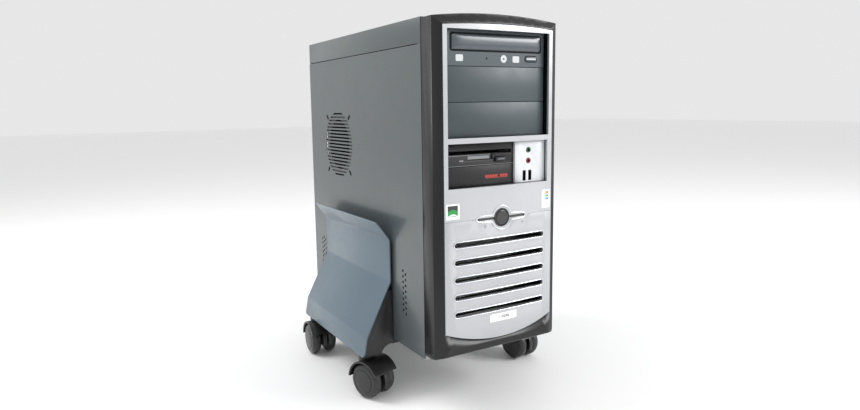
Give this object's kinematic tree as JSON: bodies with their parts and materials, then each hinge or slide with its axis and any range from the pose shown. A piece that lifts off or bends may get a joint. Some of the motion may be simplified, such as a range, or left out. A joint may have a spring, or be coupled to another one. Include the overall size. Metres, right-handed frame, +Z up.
{
  "type": "desktop computer tower",
  "caption": "Desktop computer tower with silver front, drive bays and side vent, held in a wheeled floor stand of adjustable width.",
  "frame": {"origin": "on the floor, under the middle of the whole object", "axes": "+X right as seen from the front, front faces -Y, +Z up"},
  "size_m": [0.3044, 0.407, 0.4973],
  "materials": {
    "case_paint": "semi-gloss grey paint on steel sheet",
    "zinc_steel": "zinc plated steel sheet",
    "rubber_feet": "matt rubber",
    "dark_moulding": "dark satin moulding",
    "silver_plastic": "silver lacquer on plastic",
    "white_plastic": "white satin plastic",
    "drive_face": "blue-grey fine-grained plastic",
    "floppy_face": "charcoal fine-grained plastic",
    "button_plastic": "dark gloss plastic",
    "light_guide": "dark clear plastic",
    "sticker_paper": "glossy printed film",
    "audio_plastic": "coloured socket rings",
    "usb_metal": "plated shells",
    "port_plastic": "coloured port blocks",
    "black_plastic": "black plastic",
    "board_green": "solder mask on glass laminate",
    "cast_alloy": "cast and extruded alloy",
    "stand_paint": "blue-grey semi-gloss paint",
    "stand_plastic": "dark moulded plastic",
    "caster_plastic": "dark satin nylon",
    "caster_wheel": "dark nylon"
  },
  "bodies": {
    "stand_left": {"left_base": "stand_plastic", "left_plate": "stand_paint"},
    "stand_right": {"right_base": "stand_plastic", "right_plate": "stand_paint"},
    "front_lock_knob": {"front_lock_knob": "stand_plastic"},
    "rear_lock_knob": {"rear_lock_knob": "stand_plastic"},
    "tower": {"audio_sockets": "audio_plastic", "case_feet": "rubber_feet", "chassis_floor": "zinc_steel", "floppy_drive_bezel": "floppy_face", "floppy_drive_case": "zinc_steel", "front_bezel": "dark_moulding", "front_frame": "zinc_steel", "front_socket_panel": "white_plastic", "graphics_card": "board_green", "hard_drive": "cast_alloy", "large_drive_cage": "zinc_steel", "light_guide": "light_guide", "lower_bay_blank": "drive_face", "lower_fascia": "silver_plastic", "mains_inlet": "black_plastic", "memory_modules": "board_green", "middle_bay_blank": "drive_face", "motherboard": "board_green", "motherboard_tray": "zinc_steel", "optical_drive_bezel": "drive_face", "optical_drive_case": "zinc_steel", "port_shield": "zinc_steel", "power_supply": "zinc_steel", "processor_fan_frame": "black_plastic", "processor_heat_sink": "cast_alloy", "rear_panel": "zinc_steel", "rear_ports": "port_plastic", "rear_screws": "zinc_steel", "right_side_panel": "case_paint", "slot_covers": "zinc_steel", "small_bay_blank": "floppy_face", "small_drive_cage": "zinc_steel", "stickers": "sticker_paper", "top_cover": "case_paint", "upper_fascia": "silver_plastic", "usb_sockets": "usb_metal"},
    "side_panel": {"left_side_panel": "case_paint", "panel_thumbscrews": "zinc_steel", "air_duct": "black_plastic"},
    "disc_tray": {"optical_drive_tray": "drive_face"},
    "disc_eject": {"optical_eject_button": "drive_face"},
    "floppy_eject": {"floppy_eject_button": "floppy_face"},
    "power_button": {"power_button": "button_plastic"},
    "supply_fan": {"supply_fan_rotor": "black_plastic"},
    "processor_fan": {"processor_fan_rotor": "black_plastic"},
    "mains_rocker": {"mains_switch_rocker": "black_plastic"},
    "fork_front_left": {"caster_fork_front_left": "caster_plastic"},
    "wheels_front_left": {"caster_wheels_front_left": "caster_wheel"},
    "fork_rear_left": {"caster_fork_rear_left": "caster_plastic"},
    "wheels_rear_left": {"caster_wheels_rear_left": "caster_wheel"},
    "fork_front_right": {"caster_fork_front_right": "caster_plastic"},
    "wheels_front_right": {"caster_wheels_front_right": "caster_wheel"},
    "fork_rear_right": {"caster_fork_rear_right": "caster_plastic"},
    "wheels_rear_right": {"caster_wheels_rear_right": "caster_wheel"}
  },
  "joints": [
    {"name": "tower_lift", "type": "slide", "parent": "stand_left", "child": "tower", "axis": [0, 0, 1], "range_m": [0, 0.2]},
    {"name": "stand_width", "type": "slide", "parent": "stand_left", "child": "stand_right", "axis": [1, 0, 0], "range_m": [0, 0.04]},
    {"name": "side_panel_slide", "type": "slide", "parent": "tower", "child": "side_panel", "axis": [0, 1, 0], "range_m": [0, 0.02]},
    {"name": "disc_tray_slide", "type": "slide", "parent": "tower", "child": "disc_tray", "axis": [0, -1, 0], "range_m": [0, 0.14]},
    {"name": "disc_eject_press", "type": "slide", "parent": "tower", "child": "disc_eject", "axis": [0, 1, 0], "range_m": [0, 0.0008], "stiffness_N_per_m": 300},
    {"name": "floppy_eject_press", "type": "slide", "parent": "tower", "child": "floppy_eject", "axis": [0, 1, 0], "range_m": [0, 0.0022], "stiffness_N_per_m": 300},
    {"name": "power_button_press", "type": "slide", "parent": "tower", "child": "power_button", "axis": [0, 1, 0], "range_m": [0, 0.0025], "stiffness_N_per_m": 400},
    {"name": "supply_fan_spin", "type": "hinge", "parent": "tower", "child": "supply_fan", "pos_m": [-0.022, 0.1822, 0.448], "axis": [0, 1, 0], "continuous": true},
    {"name": "processor_fan_spin", "type": "hinge", "parent": "tower", "child": "processor_fan", "pos_m": [0.0305, 0.0855, 0.3325], "axis": [1, 0, 0], "continuous": true},
    {"name": "mains_switch_rock", "type": "hinge", "parent": "tower", "child": "mains_rocker", "pos_m": [0.0495, 0.1944, 0.46], "axis": [1, 0, 0], "range_deg": [0, 10]},
    {"name": "front_knob_turn", "type": "hinge", "parent": "stand_right", "child": "front_lock_knob", "pos_m": [-0.02, -0.0655, 0.06], "axis": [0, 0, 1], "range_deg": [0, 360]},
    {"name": "rear_knob_turn", "type": "hinge", "parent": "stand_right", "child": "rear_lock_knob", "pos_m": [-0.02, 0.1125, 0.06], "axis": [0, 0, 1], "range_deg": [0, 360]},
    {"name": "swivel_front_left", "type": "hinge", "parent": "stand_left", "child": "fork_front_left", "pos_m": [-0.128, -0.0675, 0.045], "axis": [0, 0, 1], "continuous": true},
    {"name": "roll_front_left", "type": "hinge", "parent": "fork_front_left", "child": "wheels_front_left", "pos_m": [-0.12377, -0.07979, 0.024], "axis": [0.9455, 0.3256, 0], "continuous": true},
    {"name": "swivel_rear_left", "type": "hinge", "parent": "stand_left", "child": "fork_rear_left", "pos_m": [-0.128, 0.1165, 0.045], "axis": [0, 0, 1], "continuous": true},
    {"name": "roll_rear_left", "type": "hinge", "parent": "fork_rear_left", "child": "wheels_rear_left", "pos_m": [-0.12868, 0.10352, 0.024], "axis": [0.9986, -0.0523, 0], "continuous": true},
    {"name": "swivel_front_right", "type": "hinge", "parent": "stand_right", "child": "fork_front_right", "pos_m": [0.128, -0.0675, 0.045], "axis": [0, 0, 1], "continuous": true},
    {"name": "roll_front_right", "type": "hinge", "parent": "fork_front_right", "child": "wheels_front_right", "pos_m": [0.12936, -0.08043, 0.024], "axis": [0.9945, 0.1045, 0], "continuous": true},
    {"name": "swivel_rear_right", "type": "hinge", "parent": "stand_right", "child": "fork_rear_right", "pos_m": [0.128, 0.1165, 0.045], "axis": [0, 0, 1], "continuous": true},
    {"name": "roll_rear_right", "type": "hinge", "parent": "fork_rear_right", "child": "wheels_rear_right", "pos_m": [0.12377, 0.10421, 0.024], "axis": [0.9455, -0.3256, 0], "continuous": true}
  ]
}
